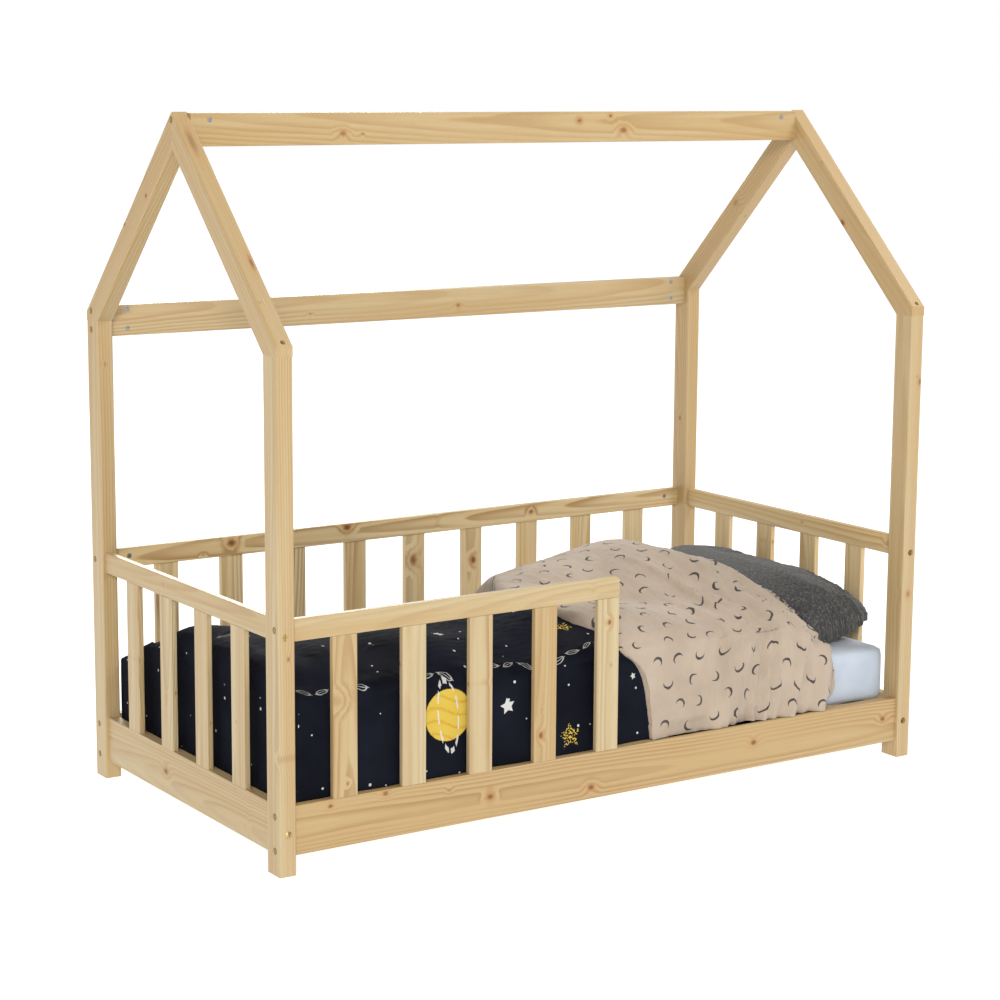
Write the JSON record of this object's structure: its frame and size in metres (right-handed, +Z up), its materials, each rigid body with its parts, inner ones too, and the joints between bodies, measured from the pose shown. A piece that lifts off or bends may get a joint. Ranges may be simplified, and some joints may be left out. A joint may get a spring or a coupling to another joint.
{
  "type": "toddler bed",
  "caption": "House-shaped toddler bed in pine with gable ends, ridge beam, slatted guards, an entry gap at the front, slatted base, mattress, duvet and pillow.",
  "frame": {"origin": "on the floor, at the centre of the bed's footprint", "axes": "+X towards the head end, +Y towards the back, +Z up; the entry gap is on the -Y side"},
  "size_m": [1.48, 0.7748, 1.3185],
  "materials": {
    "pine": "clear lacquered natural pine, satin",
    "beech_dowel": "plain fluted beech dowel, matt",
    "zinc_steel": "dull zinc plated",
    "brass_screw": "yellow passivated, satin",
    "webbing_tape": "woven polyester tape",
    "mattress_cover": "smooth cotton jersey, very pale blue-grey",
    "pillow_cover": "dark grey melange weave",
    "duvet_cover": "printed cotton, navy on one side and beige on the other"
  },
  "bodies": {
    "frame": {"back_base_cleat": "pine", "back_bottom_rail": "pine", "back_guard_rail": "pine", "back_guard_slat_1": "pine", "back_guard_slat_2": "pine", "back_guard_slat_3": "pine", "back_guard_slat_4": "pine", "back_guard_slat_5": "pine", "back_guard_slat_6": "pine", "back_guard_slat_7": "pine", "back_guard_slat_8": "pine", "back_guard_slat_9": "pine", "barrel_nuts": "zinc_steel", "base_screws": "zinc_steel", "base_slats": "pine", "base_tapes": "webbing_tape", "cleat_screws": "zinc_steel", "eaves_rail": "pine", "foot_back_post": "pine", "foot_back_rafter": "pine", "foot_bottom_rail": "pine", "foot_front_post": "pine", "foot_front_rafter": "pine", "foot_guard_rail": "pine", "foot_guard_slat_1": "pine", "foot_guard_slat_2": "pine", "foot_guard_slat_3": "pine", "foot_guard_slat_4": "pine", "frame_dowels": "beech_dowel", "front_base_cleat": "pine", "front_bottom_rail": "pine", "front_guard_rail": "pine", "front_guard_slat_1": "pine", "front_guard_slat_2": "pine", "front_guard_slat_3": "pine", "front_guard_slat_4": "pine", "front_guard_slat_5": "pine", "head_back_post": "pine", "head_back_rafter": "pine", "head_bottom_rail": "pine", "head_front_post": "pine", "head_front_rafter": "pine", "head_guard_rail": "pine", "head_guard_slat_1": "pine", "head_guard_slat_2": "pine", "head_guard_slat_3": "pine", "head_guard_slat_4": "pine", "panel_screws": "brass_screw", "rafter_screws": "zinc_steel", "rail_bolts": "zinc_steel", "ridge_beam": "pine", "slat_dowels": "beech_dowel"},
    "mattress": {"mattress": "mattress_cover"},
    "pillow": {"pillow": "pillow_cover"},
    "duvet": {"duvet": "duvet_cover"}
  },
  "joints": [
    {"name": "mattress_lift", "type": "slide", "parent": "frame", "child": "mattress", "axis": [0, 0, 1], "range_m": [0, 0.35]},
    {"name": "pillow_lift", "type": "slide", "parent": "mattress", "child": "pillow", "axis": [0, 0, 1], "range_m": [0, 0.12]},
    {"name": "duvet_lift", "type": "slide", "parent": "pillow", "child": "duvet", "axis": [0, 0, 1], "range_m": [0, 0.34]}
  ]
}
